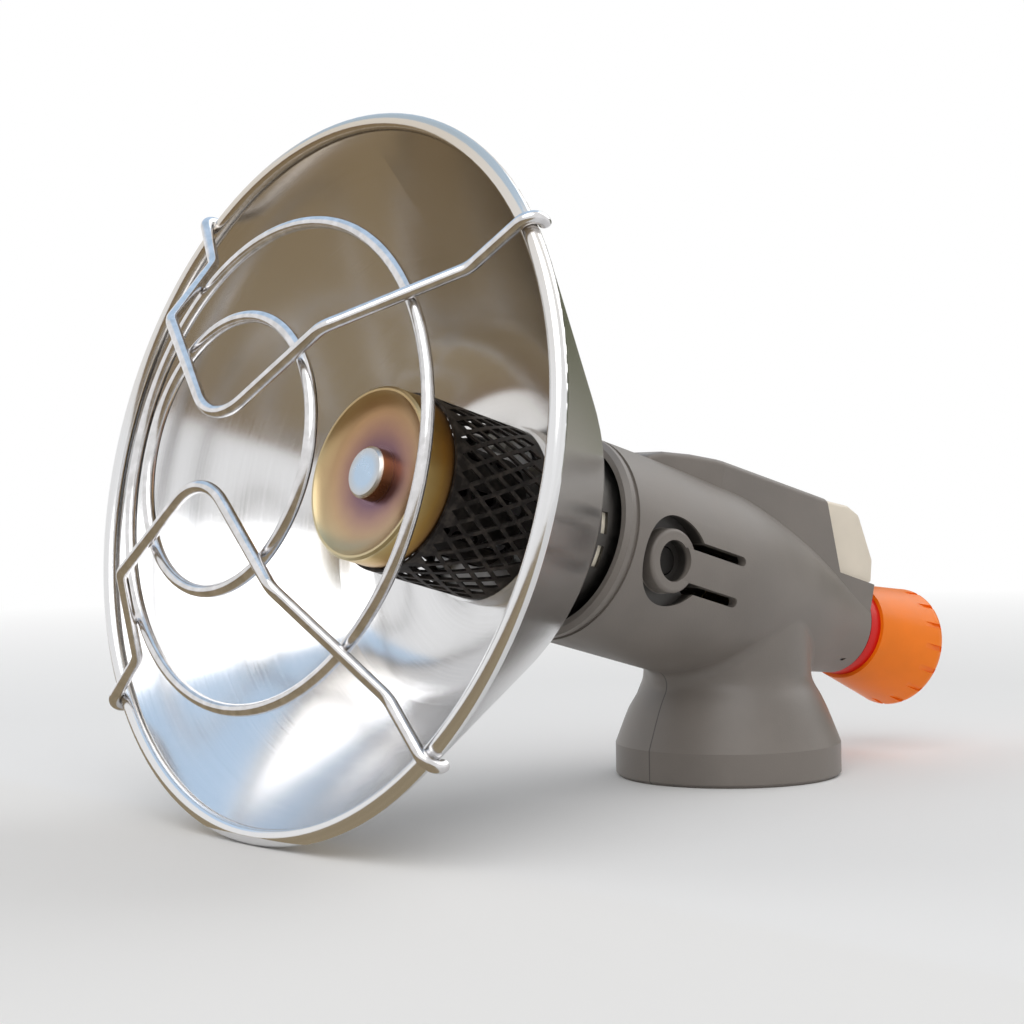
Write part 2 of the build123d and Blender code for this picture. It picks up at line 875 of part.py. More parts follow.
with BuildPart() as cap_nut:
    add(
        turned(
            burner_side,
            burner_axis,
            (rod_r, cap_dish),
            (nut_r, cap_dish),
            (nut_r, nut_front - nut_chamfer),
            (nut_r - nut_chamfer, nut_front),
            (0, nut_front),
            (0, rod_front),
            (rod_r, rod_front),
        )
    )
finish(cap_nut, "cap_nut")

with BuildPart() as electrode_insulator:
    with BuildSketch(burner.offset(-insulator_back)):
        with Locations((0, electrode_up)):
            Circle(insulator_r)
            Circle(electrode_r, mode=Mode.SUBTRACT)
    extrude(amount=insulator_back + insulator_front)
finish(electrode_insulator, "electrode_insulator")

with BuildPart() as electrode:
    with BuildSketch(burner.offset(-electrode_back)):
        with Locations((0, electrode_up)):
            Circle(electrode_r)
    extrude(amount=electrode_back + electrode_front)
finish(electrode, "electrode")

with BuildPart() as igniter_lead:
    with BuildLine() as lead_route:
        FilletPolyline(
            burner.from_local_coords((0, electrode_up, -electrode_back)),
            burner.from_local_coords((0, electrode_up, -electrode_back - lead_run)),
            torch.from_local_coords((0, lead_up, igniter_front + lead_straight)),
            torch.from_local_coords((0, lead_up, igniter_front)),
            radius=lead_bend,
        )
    with BuildSketch(Plane(origin=lead_route.line @ 0, z_dir=lead_route.line % 0)):
        Circle(lead_r)
    sweep()
finish(igniter_lead, "igniter_lead")

# Bracket: a slotted steel cup between the barrel and the bowl, with two straps to the side bosses
cup_r = 19.5
cup_sheet = 0.8
cup_back = 8.0
cup_flange_r = 12.5
cup_hole_r = 8.0
cup_slot_at = -0.4
cup_slot_height = 1.8
cup_slot_width = 4.8
cup_slot_turn = 22.0
cup_slot_first = -17.0
cup_slot_groups = 4
cup_vents = 6
cup_vent_r = 2.2
cup_vent_ring = 13.0
strap_width = 9.0
strap_back = 37.0

with BuildPart() as bracket:
    add(ring(bowl_side, bowl_axis, cup_r - cup_sheet, cup_r, -cup_back, bowl_floor))
    add(ring(bowl_side, bowl_axis, cup_flange_r, cup_r, bowl_floor - cup_sheet, bowl_floor))
    add(ring(bowl_side, bowl_axis, cup_hole_r, cup_r, -cup_back, cup_sheet - cup_back))
    strap_front = neck_reach - cup_back + cup_sheet / 2
    with BuildSketch(torch_side.offset(pad_inner - cup_sheet)):
        with Locations((-boss_drop, (strap_front + strap_back) / 2)):
            Rectangle(strap_width, strap_front - strap_back)
    straps = extrude(amount=cup_sheet)
    mirror(straps, about=Plane.YZ)
    with BuildSketch(torch_side):
        with Locations(boss_place):
            Circle(screw_r)
    extrude(amount=pad_inner + over, both=True, mode=Mode.SUBTRACT)
    with BuildSketch(bowl.offset(cup_slot_at - cup_slot_height / 2)):
        for group in range(cup_slot_groups):
            start = cup_slot_first + group * 360 / cup_slot_groups
            with PolarLocations(cup_r, 2, start_angle=start, angular_range=2 * cup_slot_turn):
                Rectangle(cup_sheet + cup_sheet + over, cup_slot_width)
    extrude(amount=cup_slot_height, mode=Mode.SUBTRACT)
    with BuildSketch(burner):
        with PolarLocations(cup_vent_ring, cup_vents):
            Circle(cup_vent_r)
        with Locations((0, electrode_up)):
            Circle(insulator_r)
    extrude(amount=-reach, mode=Mode.SUBTRACT)
    with BuildSketch(burner):
        with PolarLocations(base_screw_ring, base_screws_count, start_angle=base_screw_turn):
            Circle(base_screw_r)
        with Locations((0, electrode_up)):
            Circle(insulator_r)
    extrude(amount=reach, mode=Mode.SUBTRACT)
finish(bracket, "bracket")

side_screw_head_r = 2.9
side_screw_head = 1.8
side_screw_inner = 12.8

with BuildPart() as side_screws:
    with BuildSketch(torch_side.offset(boss_seat_at)):
        with Locations(boss_place):
            Circle(side_screw_head_r)
    extrude(amount=side_screw_head)
    with BuildSketch(torch_side.offset(boss_seat_at)):
        with Locations(boss_place):
            Circle(screw_r)
    extrude(amount=side_screw_inner - boss_seat_at)
    mirror(about=Plane.YZ)
finish(side_screws, "side_screws")

# Reflector bowl: a spun sheet with a flat floor, a rounded corner, a straight wall and a rolled rim.
# The corner leaves the floor flat under the burner's collar.
wall_offset = bead_r - rim_tuck
wall_run = hypot(rim_r - bowl_floor_r, rim_reach - bowl_floor)
wall_angle = atan2(rim_r - bowl_floor_r, rim_reach - bowl_floor) + asin(wall_offset / wall_run)
inner_floor_r = bowl_floor_r + bowl_sheet * tan(wall_angle) - bowl_sheet / cos(wall_angle)
inner_offset = wall_offset - bowl_sheet
corner_half_turn = (radians(90) - wall_angle) / 2
collar_side = burner_collar_r + bowl_floor * tan(radians(reflector_droop))
bowl_corner = min(bowl_corner_r, (bowl_floor_r - collar_side) / tan(corner_half_turn))

with BuildPart() as reflector_bowl:
    with BuildSketch(bowl_side):
        with BuildLine():
            outside = FilletPolyline(
                (bowl_hole_r, bowl_floor),
                (bowl_floor_r, bowl_floor),
                (rim_r + wall_offset * cos(wall_angle), rim_reach - wall_offset * sin(wall_angle)),
                radius=bowl_corner,
            )
            inside = FilletPolyline(
                (bowl_hole_r, floor_top),
                (inner_floor_r, floor_top),
                (rim_r + inner_offset * cos(wall_angle), rim_reach - inner_offset * sin(wall_angle)),
                radius=bowl_corner - bowl_sheet,
            )
            Line(outside @ 0, inside @ 0)
            Line(outside @ 1, inside @ 1)
        make_face()
        with Locations((rim_r, rim_reach)):
            Circle(bead_r)
    revolve(axis=bowl_axis)
    with BuildSketch(burner):
        with PolarLocations(base_screw_ring, base_screws_count, start_angle=base_screw_turn):
            Circle(base_screw_r)
        with Locations((0, electrode_up)):
            Circle(insulator_r)
    extrude(amount=floor_top + over + over, mode=Mode.SUBTRACT)
finish(reflector_bowl, "reflector_bowl")

# Guard: two bent wires hooked round the rim, over two rings
wire_r = 1.25
hook_end_angle = -37.0
shoulder_share = 0.829876
shoulder_rise = 4.7
knee_share = 0.504841
knee_rise = 22.2
tip_rise = 24.2
guard_shoulder_r = rim_r * shoulder_share
guard_shoulder = rim_reach + shoulder_rise
guard_knee_r = rim_r * knee_share
guard_knee = rim_reach + knee_rise
guard_tip_r = 3.9
guard_tip = rim_reach + tip_rise
shoulder_bend = 6.0
knee_bend = 4.5
tip_bend = 12.0
outer_ring_share = 0.674274
inner_ring_share = 0.374827
outer_ring_r = rim_r * outer_ring_share
inner_ring_r = rim_r * inner_ring_share
upper_hooks = (37.5, 130.5)
lower_hooks = (222.0, 314.0)
hook_r = bead_r + wire_r


def guard_point(radius, angle, along):
    return bowl.from_local_coords((radius * cos(radians(angle)), radius * sin(radians(angle)), along))


def hook_angle():
    """Angle round the bead at which a wire leaves it in a straight line to its shoulder."""
    back = hypot(rim_r - guard_shoulder_r, guard_shoulder - rim_reach)
    lean = atan2(guard_shoulder - rim_reach, guard_shoulder_r - rim_r)
    return degrees(lean) - degrees(atan2((back**2 - hook_r**2) ** (1 / 2), hook_r))


def hook_point(side, angle):
    return guard_point(
        rim_r + hook_r * cos(radians(angle)), side, rim_reach + hook_r * sin(radians(angle))
    )


def guard_wire(hooks):
    """One wire: round the bead, in to a shoulder, forward to a knee and in to its rounded tip."""
    first, last = hooks
    leave = hook_angle()
    with BuildPart() as wire:
        with BuildLine() as route:
            ThreePointArc(
                hook_point(first, hook_end_angle),
                hook_point(first, (hook_end_angle + leave) / 2),
                hook_point(first, leave),
            )
            FilletPolyline(
                hook_point(first, leave),
                guard_point(guard_shoulder_r, first, guard_shoulder),
                guard_point(guard_knee_r, first, guard_knee),
                guard_point(guard_tip_r, (first + last) / 2, guard_tip),
                guard_point(guard_knee_r, last, guard_knee),
                guard_point(guard_shoulder_r, last, guard_shoulder),
                hook_point(last, leave),
                radius=[shoulder_bend, knee_bend, tip_bend, knee_bend, shoulder_bend],
            )
            ThreePointArc(
                hook_point(last, leave),
                hook_point(last, (hook_end_angle + leave) / 2),
                hook_point(last, hook_end_angle),
            )
        with BuildSketch(Plane(origin=route.line @ 0, z_dir=route.line % 0)):
            Circle(wire_r)
        sweep()
    return wire.part


with BuildPart() as guard_upper_wire:
    add(guard_wire(upper_hooks))
finish(guard_upper_wire, "guard_upper_wire")

with BuildPart() as guard_lower_wire:
    add(guard_wire(lower_hooks))
finish(guard_lower_wire, "guard_lower_wire")

# The outer ring lies behind the slanting runs, the inner ring behind the runs to the tips
slant = atan2(guard_knee - guard_shoulder, guard_shoulder_r - guard_knee_r)
outer_ring_at = guard_shoulder + (guard_shoulder_r - outer_ring_r) * tan(slant) - 2 * wire_r / cos(slant)
inner_ring_at = guard_knee - 2 * wire_r

with BuildPart() as guard_outer_ring:
    with BuildSketch(bowl_side):
        with Locations((outer_ring_r, outer_ring_at)):
            Circle(wire_r)
    revolve(axis=bowl_axis)
finish(guard_outer_ring, "guard_outer_ring")

with BuildPart() as guard_inner_ring:
    with BuildSketch(bowl_side):
        with Locations((inner_ring_r, inner_ring_at)):
            Circle(wire_r)
    revolve(axis=bowl_axis)
finish(guard_inner_ring, "guard_inner_ring")
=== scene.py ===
import math

import bpy
from mathutils import Matrix, Vector


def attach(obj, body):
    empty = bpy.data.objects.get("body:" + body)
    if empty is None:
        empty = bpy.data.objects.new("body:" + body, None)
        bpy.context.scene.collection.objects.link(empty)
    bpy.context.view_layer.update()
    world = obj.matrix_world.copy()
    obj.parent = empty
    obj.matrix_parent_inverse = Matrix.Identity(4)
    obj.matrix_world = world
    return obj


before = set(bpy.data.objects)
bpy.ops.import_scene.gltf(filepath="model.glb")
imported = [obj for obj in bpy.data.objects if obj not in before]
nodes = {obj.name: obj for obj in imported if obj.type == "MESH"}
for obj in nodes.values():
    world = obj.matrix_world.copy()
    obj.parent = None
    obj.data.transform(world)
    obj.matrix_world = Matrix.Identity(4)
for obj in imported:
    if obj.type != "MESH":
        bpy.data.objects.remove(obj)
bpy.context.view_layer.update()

print("frame loaded:", len(nodes), "nodes")

# The barrel and the burner lean up by 15 degrees and the bowl by 11.5, all towards -Y
axes = {
    "torchTilt": 15.0,
    "bowlTilt": 11.5,
    "axisHeight": 0.0436973,
    "neckReach": 0.062,
}
torchLean = math.radians(axes["torchTilt"])
bowlLean = math.radians(axes["bowlTilt"])
torchMiddle = Vector((0, 0, axes["axisHeight"]))
torchAlong = Vector((0, -math.cos(torchLean), math.sin(torchLean)))
bowlMiddle = torchMiddle + torchAlong * axes["neckReach"]
bowlAlong = Vector((0, -math.cos(bowlLean), math.sin(bowlLean)))


def facing(direction, axis="Z"):
    # a turn that points an object's axis along the direction
    return direction.to_track_quat(axis, "Y").to_matrix().to_4x4()


# Camera at the photograph's angle
view = {
    "azimuth": 48.3,
    "elevation": 0.45,
    "roll": -0.87,
    "lens": 71.5,
    "sensor": 36,
    "nearest": 0.01,
    "place": (0.33053, -0.36281, 0.06733),
}


def makeCamera():
    a, e, r = (math.radians(view[key]) for key in ("azimuth", "elevation", "roll"))
    back = Vector((math.sin(a) * math.cos(e), -math.cos(a) * math.cos(e), math.sin(e)))
    right = Vector((math.cos(a), math.sin(a), 0))
    up = back.cross(right)
    rolledRight = right * math.cos(r) + up * math.sin(r)
    rolledUp = up * math.cos(r) - right * math.sin(r)
    data = bpy.data.cameras.new("camera")
    data.lens = view["lens"]
    data.sensor_width = view["sensor"]
    data.clip_start = view["nearest"]
    camera = bpy.data.objects.new("camera", data)
    bpy.context.scene.collection.objects.link(camera)
    turn = Matrix((rolledRight, rolledUp, back)).transposed().to_4x4()
    camera.matrix_world = Matrix.Translation(view["place"]) @ turn
    bpy.context.scene.camera = camera


makeCamera()
bpy.context.scene.view_settings.view_transform = "Standard"
print("camera made")


# Shader helpers: a wire is one node output, and sums on wires add Math nodes
class Wire:
    def __init__(self, wiring, socket):
        self.wiring, self.socket = wiring, socket

    def maths(self, operation, *others):
        inputs = dict(enumerate((self,) + others))
        return self.wiring.node("ShaderNodeMath", {"operation": operation}, inputs)

    def __add__(self, other):
        return self.maths("ADD", other)

    def __sub__(self, other):
        return self.maths("SUBTRACT", other)

    def __rsub__(self, other):
        return self.maths("MULTIPLY_ADD", -1.0, other)

    def __mul__(self, other):
        return self.maths("MULTIPLY", other)

    __radd__ = __add__
    __rmul__ = __mul__


class Wiring:
    def __init__(self, tree):
        self.tree = tree

    def feed(self, socket, value):
        if isinstance(value, Wire):
            self.tree.links.new(value.socket, socket)
        elif socket.type == "RGBA":
            socket.default_value = (*value, 1)
        else:
            socket.default_value = value

    def node(self, kind, settings=None, inputs=None, out=0):
        # out names the output that comes back, or a tuple of them
        made = self.tree.nodes.new(kind)
        for key, value in (settings or {}).items():
            if key == "stops":
                ramp = made.color_ramp
                while len(ramp.elements) < len(value):
                    ramp.elements.new(1.0)
                for stop, (place, colour) in zip(ramp.elements, value):
                    stop.position, stop.color = place, (*colour, 1)
            else:
                setattr(made, key, value)
        for key, value in (inputs or {}).items():
            self.feed(made.inputs[key], value)
        if isinstance(out, tuple):
            return [Wire(self, made.outputs[key]) for key in out]
        return Wire(self, made.outputs[out])

    def split(self, vector):
        return self.node("ShaderNodeSeparateXYZ", None, {0: vector}, out=(0, 1, 2))

    def blend(self, share, first, second, how="MIX"):
        # sockets 6 and 7 and output 2 are the Mix node's colours
        settings = {"data_type": "RGBA", "blend_type": how}
        return self.node("ShaderNodeMix", settings, {0: share, 6: first, 7: second}, out=2)

    def between(self, value, low, high, newLow=0.0, newHigh=1.0):
        inputs = {0: value, 1: low, 2: high, 3: newLow, 4: newHigh}
        return self.node("ShaderNodeMapRange", {"clamp": True}, inputs)

    def below(self, value, low, high):
        # 1 up to low, fading to 0 at high
        return self.between(value, low, high, 1.0, 0.0)

    def inside(self, value, edge, soft):
        return self.below(value, edge, edge + soft)

    def unlitRays(self):
        # 1 for camera, mirror and see-through rays, which show the white background
        kinds = ("Is Camera Ray", "Is Glossy Ray", "Is Transmission Ray")
        camera, mirror, through = self.node("ShaderNodeLightPath", out=kinds)
        return (camera + mirror + through).maths("MINIMUM", 1.0)

    def glow(self, colour):
        return self.node("ShaderNodeEmission", None, {0: colour, 1: 1.0})


# Noise rarely leaves the middle of its range, so it is stretched from one of these spans
noiseSpan = {"wide": (0.3, 0.7), "narrow": (0.35, 0.65), "worn": (0.45, 0.75)}
ringStretch = 9.0


class Finish(Wiring):
    def __init__(self, name, **fixed):
        self.material = bpy.data.materials.new(name)
        self.material.use_nodes = True
        super().__init__(self.material.node_tree)
        self.shader = self.tree.nodes["Principled BSDF"]
        self.put(**fixed)

    def put(self, **values):
        names = {"BaseColor": "Base Color", "SpecularLevel": "Specular IOR Level"}
        for key, value in values.items():
            self.feed(self.shader.inputs[names.get(key, key)], value)

    def show(self, shader):
        self.feed(self.tree.nodes["Material Output"].inputs["Surface"], shader)

    def place(self):
        return self.node("ShaderNodeTexCoord", out="Object")

    def inFrame(self, origin, lean):
        # the point as (across, up, along) in a leaning piece's own frame
        turn = (math.pi / 2 - lean, 0, 0)
        inputs = {0: self.place(), 1: tuple(origin), 2: turn}
        return self.node("ShaderNodeMapping", {"vector_type": "TEXTURE"}, inputs)

    def fromAxis(self, framed):
        across, up, along = self.split(framed)
        return (across * across + up * up).maths("SQRT"), along

    def noise(self, vector, scale, detail=3.0, rough=0.5):
        inputs = {"Vector": vector, "Scale": scale, "Detail": detail, "Roughness": rough}
        return self.node("ShaderNodeTexNoise", None, inputs)

    def turnedRings(self, framed, scale, detail=3.0, rough=0.5):
        # the fine rings that a lathe leaves round the axis
        radius, along = self.fromAxis(framed)
        inputs = {0: radius * ringStretch, 1: 0.0, 2: along * ringStretch}
        point = self.node("ShaderNodeCombineXYZ", None, inputs)
        return self.noise(point, scale, detail, rough)

    def vary(self, noise, low, high, span="wide"):
        # from low to high as the noise rises, for two numbers or two colours
        if isinstance(low, tuple):
            return self.blend(self.between(noise, *noiseSpan[span]), low, high)
        return self.between(noise, *noiseSpan[span], low, high)

    def ramp(self, value, stops):
        return self.node("ShaderNodeValToRGB", {"stops": stops}, {0: value})

    def relief(self, height, strength, distance):
        inputs = {"Height": height, "Strength": strength, "Distance": distance}
        self.put(Normal=self.node("ShaderNodeBump", None, inputs))


# In these looks a noise is its scale and detail, and a relief is the bump's strength and
# its height in metres. A rough pair runs from the smoothest spots to the roughest.
plastics = {
    "housing": {
        "colour": (0.195, 0.172, 0.152),
        "rough": (0.38, 0.47),
        "gloss": 0.5,
        "grain": (2600.0, 2.0),
        "relief": (0.35, 0.00008),
    },
    "button": {
        "colour": (0.78, 0.70, 0.58),
        "rough": (0.32, 0.41),
        "gloss": 0.5,
        "grain": (3000.0, 2.0),
        "relief": (0.35, 0.00004),
    },
    "knob": {
        "colour": (0.98, 0.22, 0.006),
        "rough": (0.30, 0.39),
        "gloss": 0.3,
        "grain": (3000.0, 2.0),
        "relief": (0.35, 0.00004),
    },
    "collar": {
        "colour": (0.70, 0.006, 0.004),
        "rough": (0.30, 0.39),
        "gloss": 0.3,
        "grain": (3000.0, 2.0),
        "relief": (0.35, 0.00004),
    },
}
mottle = {"blotches": (60.0, 3.0), "shade": (0.93, 1.06), "grainRough": 0.06}
# The two halves of the housing meet in the middle plane in a thin dark line
partingLine = {"full": 0.00011, "gone": 0.00022, "dark": 0.6, "deep": 4.0}
# The side bosses, whose screw hole and pocket are darkened with painted shade
boss = {
    "drop": 0.002,
    "along": 0.042,
    "holeRadius": 0.0046,
    "holeDeep": 0.0212,
    "holeMouth": 0.0222,
    "holeDark": 0.85,
    "pocketInner": 0.0072,
    "pocketOuter": 0.0101,
    "pocketFloor": 0.0222,
    "pocketMouth": 0.0230,
    "pocketDark": 0.8,
    "soft": 0.0002,
}


def bossPaintedShade(finish):
    inBarrel = finish.inFrame(torchMiddle, torchLean)
    side, up, along = finish.split(inBarrel)
    radius, _ = finish.fromAxis(inBarrel)
    up, along = up + boss["drop"], along - boss["along"]
    away = (up * up + along * along).maths("SQRT")
    deep = finish.below(side.maths("ABSOLUTE"), boss["holeDeep"], boss["holeMouth"])
    hole = finish.inside(away, boss["holeRadius"], boss["soft"]) * deep
    sunk = finish.below(radius, boss["pocketFloor"], boss["pocketMouth"])
    offBoss = 1.0 - finish.inside(away, boss["pocketInner"], boss["soft"])
    pocket = offBoss * finish.inside(away, boss["pocketOuter"], boss["soft"]) * sunk
    # painted shade: the screw hole and the sunk pocket round the boss are darkened
    return (1.0 - hole * boss["holeDark"]) * (1.0 - pocket * boss["pocketDark"])


def mouldedPlastic(name, parted=False):
    look = plastics[name]
    finish = Finish(name + "Plastic", SpecularLevel=look["gloss"])
    place = finish.place()
    grain = finish.noise(place, *look["grain"])
    blotches = finish.noise(place, *mottle["blotches"])
    shade = finish.vary(blotches, *mottle["shade"], "narrow")
    height = grain
    if parted:
        offMiddle = finish.split(place)[0].maths("ABSOLUTE")
        line = finish.below(offMiddle, partingLine["full"], partingLine["gone"])
        # the housing's colour takes the painted shade of the boss holes and pockets here
        shade = shade * (1.0 - line * partingLine["dark"]) * bossPaintedShade(finish)
        height = grain - line * partingLine["deep"]
    grey = finish.node("ShaderNodeCombineColor", None, {0: shade, 1: shade, 2: shade})
    finish.put(BaseColor=finish.blend(1.0, look["colour"], grey, "MULTIPLY"))
    rough = finish.vary(blotches, *look["rough"])
    finish.put(Roughness=rough + (grain - 0.5) * mottle["grainRough"])
    finish.relief(height, *look["relief"])
    return finish.material


# The bowl is turned and polished, and its upper half carries a painted reflection of warm
# brown ground
bowlLook = {
    "rings": (260.0, 4.0, 0.6),
    "blotches": (16.0, 3.0),
    "dark": (0.72, 0.72, 0.725),
    "light": (0.77, 0.77, 0.78),
    "paintedReflection": (0.56, 0.46, 0.33),
    "paintedReflectionStart": 0.005,
    "paintedReflectionFull": 0.07,
    "paintedReflectionShare": 0.6,
    "paintedReflectionWander": 0.05,
    "rough": (0.15, 0.20),
    "blotchRough": 0.08,
    "relief": (0.10, 0.00004),
}


def polishedBowl():
    look = bowlLook
    finish = Finish("polishedBowl", Metallic=1.0)
    inBowl = finish.inFrame(bowlMiddle, bowlLean)
    rings = finish.turnedRings(inBowl, *look["rings"])
    blotches = finish.noise(inBowl, *look["blotches"]) - 0.5
    steel = finish.vary(rings, look["dark"], look["light"])
    # painted reflection: the bowl's upper half is blended towards a warm brown
    height = finish.split(inBowl)[1] + blotches * look["paintedReflectionWander"]
    paintedReflectionMix = finish.between(height, look["paintedReflectionStart"], look["paintedReflectionFull"], 0.0, look["paintedReflectionShare"])
    finish.put(BaseColor=finish.blend(paintedReflectionMix, steel, look["paintedReflection"]))
    finish.put(Roughness=finish.vary(rings, *look["rough"]) + blotches * look["blotchRough"])
    finish.relief(rings, *look["relief"])
    return finish.material


# Metals whose colour and roughness follow one fine grain
grainedMetals = {
    "brightWire": {
        "grain": (420.0, 3.0),
        "dark": (0.62, 0.61, 0.61),
        "light": (0.76, 0.75, 0.76),
        "rough": (0.14, 0.24),
        "relief": (0.15, 0.00004),
    },
    "machinedBrass": {
        "grain": (800.0, 3.0),
        "dark": (0.62, 0.45, 0.20),
        "light": (0.78, 0.60, 0.30),
        "rough": (0.24, 0.36),
        "relief": (0.15, 0.00004),
    },
}


def grainedMetal(name):
    look = grainedMetals[name]
    finish = Finish(name, Metallic=1.0)
    grain = finish.noise(finish.place(), *look["grain"])
    finish.put(BaseColor=finish.vary(grain, look["dark"], look["light"]))
    finish.put(Roughness=finish.vary(grain, *look["rough"]))
    finish.relief(grain, *look["relief"])
    return finish.material


# Sheet steel and screws: broad dull patches under a fine grain
steels = {
    "stampedSteel": {"colour": (0.56, 0.55, 0.54), "rough": (0.28, 0.42)},
    "cupSteel": {"colour": (0.10, 0.094, 0.088), "rough": (0.32, 0.46)},
    "screwSteel": {"colour": (0.50, 0.50, 0.50), "rough": (0.26, 0.40)},
    "blackenedScrew": {"colour": (0.045, 0.042, 0.040), "rough": (0.39, 0.53)},
}
steelGrain = {
    "grain": (700.0, 4.0),
    "patches": (70.0, 2.0),
    "dull": 0.82,
    "relief": (0.2, 0.00005),
}


def patchySteel(name):
    look = steels[name]
    finish = Finish(name, Metallic=1.0)
    place = finish.place()
    grain = finish.noise(place, *steelGrain["grain"])
    patches = finish.noise(place, *steelGrain["patches"])
    dull = tuple(c * steelGrain["dull"] for c in look["colour"])
    finish.put(BaseColor=finish.vary(patches, dull, look["colour"], "narrow"))
    finish.put(Roughness=finish.vary(grain, *look["rough"]))
    finish.relief(grain, *steelGrain["relief"])
    return finish.material


# Matt pieces: black plastic, rubber, ceramic and the pale plate behind the slots
matts = {
    "blackPlastic": {"colour": (0.035, 0.035, 0.035), "rough": (0.45, 0.55)},
    "sealRubber": {"colour": (0.022, 0.022, 0.022), "rough": (0.55, 0.65)},
    "ceramic": {"colour": (0.82, 0.80, 0.74), "rough": (0.25, 0.35)},
    "slotRingPlate": {"colour": (0.96, 0.88, 0.72), "rough": (0.30, 0.40)},
}
mattGrain = {"specks": (900.0, 3.0), "dim": 0.85, "relief": (0.2, 0.00005)}


def plainMatt(name):
    look = matts[name]
    finish = Finish(name)
    specks = finish.noise(finish.place(), *mattGrain["specks"])
    dim = tuple(c * mattGrain["dim"] for c in look["colour"])
    finish.put(BaseColor=finish.vary(specks, dim, look["colour"], "narrow"))
    finish.put(Roughness=finish.vary(specks, *look["rough"]))
    finish.relief(specks, *mattGrain["relief"])
    return finish.material


# Burner cap: heat colours from the middle of its face to the edge, and along its side
capLook = {
    "face": (
        (0.0, (0.20, 0.14, 0.20)),
        (0.20, (0.25, 0.15, 0.19)),
        (0.40, (0.40, 0.25, 0.21)),
        (0.64, (0.52, 0.36, 0.22)),
        (0.86, (0.58, 0.46, 0.27)),
        (1.0, (0.62, 0.56, 0.36)),
    ),
    "faceRadii": (0.004, 0.0188),
    "faceWander": 0.0022,
    "browned": (0.80, 0.66, 0.52),
    "brownHeights": (-0.012, 0.014),
    "brownShare": 0.8,
    "side": (
        (0.0, (0.24, 0.13, 0.05)),
        (0.35, (0.46, 0.28, 0.08)),
        (1.0, (0.60, 0.46, 0.20)),
    ),
    "sideLength": (0.0425, 0.0495),
    "sideWander": 0.002,
    "faceAlong": (0.0488, 0.0496),
    "wallRadius": (0.0178, 0.0182),
    "blotches": (160.0, 4.0),
    "rings": (300.0, 3.0),
    "rough": (0.26, 0.38),
    "relief": (0.2, 0.00005),
}


def heatTintedCap():
    look = capLook
    finish = Finish("heatTintedCap", Metallic=1.0)
    inBurner = finish.inFrame(bowlMiddle, torchLean)
    radius, along = finish.fromAxis(inBurner)
    up = finish.split(inBurner)[1]
    blotches = finish.noise(inBurner, *look["blotches"]) - 0.5
    rings = finish.turnedRings(inBurner, *look["rings"])
    outward = finish.between(radius + blotches * look["faceWander"], *look["faceRadii"])
    face = finish.ramp(outward, look["face"])
    browner = finish.blend(1.0, face, look["browned"], "MULTIPLY")
    brown = finish.between(up, *look["brownHeights"], 0.0, look["brownShare"])
    face = finish.blend(brown, face, browner)
    forward = finish.between(along + blotches * look["sideWander"], *look["sideLength"])
    side = finish.ramp(forward, look["side"])
    behindFace = finish.below(along, *look["faceAlong"])
    onWall = finish.between(radius, *look["wallRadius"])
    finish.put(BaseColor=finish.blend(behindFace * onWall, face, side))
    finish.put(Roughness=finish.vary(rings, *look["rough"]))
    finish.relief(rings, *look["relief"])
    return finish.material


# Cap nut: a bluish face with a grey edge, on brown flanks
nutLook = {
    "flank": (0.46, 0.27, 0.13),
    "middle": (0.50, 0.63, 0.78),
    "edge": (0.58, 0.58, 0.58),
    "edgeRadii": (0.0028, 0.0050),
    "faceAlong": (0.0496, 0.0503),
    "faceWander": 0.0006,
    "blotches": (300.0, 3.0),
    "rough": (0.24, 0.36),
    "relief": (0.15, 0.00004),
}


def heatTintedNut():
    look = nutLook
    finish = Finish("heatTintedNut", Metallic=1.0)
    inBurner = finish.inFrame(bowlMiddle, torchLean)
    radius, along = finish.fromAxis(inBurner)
    blotches = finish.noise(inBurner, *look["blotches"])
    front = finish.between(along + (blotches - 0.5) * look["faceWander"], *look["faceAlong"])
    edge = finish.between(radius, *look["edgeRadii"])
    face = finish.blend(edge, look["middle"], look["edge"])
    finish.put(BaseColor=finish.blend(front, look["flank"], face))
    finish.put(Roughness=finish.vary(blotches, *look["rough"]))
    finish.relief(blotches, *look["relief"])
    return finish.material


# Burner mesh and its core: blackened steel, worn paler in patches
meshLook = {
    "dark": (0.028, 0.024, 0.022),
    "worn": (0.115, 0.098, 0.085),
    "metal": 0.75,
    "patches": (420.0, 4.0),
    "rough": (0.48, 0.66),
    "relief": (0.3, 0.00008),
    "coreLift": 0.6,
}


def blackenedSteel(name, lift=1.0):
    look = meshLook
    finish = Finish(name, Metallic=look["metal"])
    patches = finish.noise(finish.inFrame(bowlMiddle, torchLean), *look["patches"])
    dark, worn = (tuple(c * lift for c in look[key]) for key in ("dark", "worn"))
    finish.put(BaseColor=finish.vary(patches, dark, worn, "worn"))
    finish.put(Roughness=finish.vary(patches, *look["rough"]))
    finish.relief(patches, *look["relief"])
    return finish.material


finishes = {
    "housing": mouldedPlastic("housing", parted=True),
    "button": mouldedPlastic("button"),
    "knob": mouldedPlastic("knob"),
    "collar": mouldedPlastic("collar"),
    "black": plainMatt("blackPlastic"),
    "rubber": plainMatt("sealRubber"),
    "ceramic": plainMatt("ceramic"),
    "bowl": polishedBowl(),
    "wire": grainedMetal("brightWire"),
    "slotRing": plainMatt("slotRingPlate"),
    "stamped": patchySteel("stampedSteel"),
    "cup": patchySteel("cupSteel"),
    "screw": patchySteel("screwSteel"),
    "blackScrew": patchySteel("blackenedScrew"),
    "mesh": blackenedSteel("blackenedMesh"),
    "core": blackenedSteel("blackenedCore", meshLook["coreLift"]),
    "cap": heatTintedCap(),
    "nut": heatTintedNut(),
    "brass": grainedMetal("machinedBrass"),
}
print("finishes made:", len(finishes))

